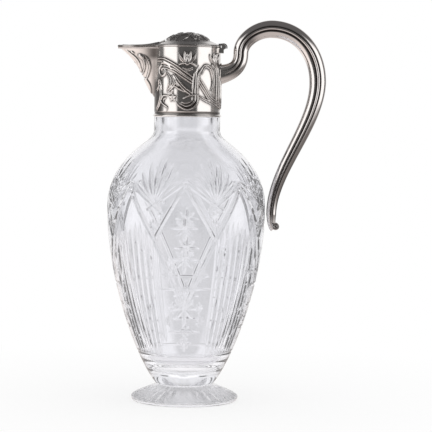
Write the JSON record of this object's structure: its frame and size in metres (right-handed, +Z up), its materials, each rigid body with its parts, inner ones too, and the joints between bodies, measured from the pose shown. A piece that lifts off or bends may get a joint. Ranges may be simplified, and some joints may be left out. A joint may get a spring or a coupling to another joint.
{
  "type": "claret jug",
  "caption": "Cut-glass claret jug on a round foot, with a silver-plated neck mount, pouring spout, tall hooked handle and a hinged domed lid.",
  "frame": {"origin": "centre of the foot's underside, on the table", "axes": "+Z up along the jug's axis, -X towards the spout, +X towards the handle, +Y to the far side as seen with the spout on the left"},
  "size_m": [0.1715, 0.1248, 0.3009],
  "materials": {
    "cut_glass": "polished",
    "plaster": "matte",
    "silver_plate": "polished",
    "chased_silver": "polished",
    "embossed_silver": "satin",
    "handle_silver": "polished",
    "gilt_lining": "satin",
    "pin_steel": "satin"
  },
  "bodies": {
    "jug": {"glass_body": "cut_glass", "neck_plaster": "plaster", "neck_cap_ring": "gilt_lining", "mount_sleeve": "chased_silver", "mount_lower_wire": "silver_plate", "mount_upper_wire": "silver_plate", "spout": "chased_silver", "spout_wire": "silver_plate", "handle_seat": "silver_plate", "handle": "handle_silver", "handle_scroll": "handle_silver", "hinge_lug_near": "silver_plate", "hinge_lug_far": "silver_plate", "hinge_pin": "pin_steel"},
    "lid": {"lid_plate": "silver_plate", "lid_dome": "embossed_silver", "lid_beak": "embossed_silver", "lid_bezel": "gilt_lining", "lid_knuckle": "silver_plate", "thumb_piece": "silver_plate"}
  },
  "joints": [
    {"name": "lid_hinge", "type": "hinge", "parent": "jug", "child": "lid", "pos_m": [0.0282, 0, 0.2793], "axis": [0, 1, 0], "range_deg": [0, 95]}
  ]
}
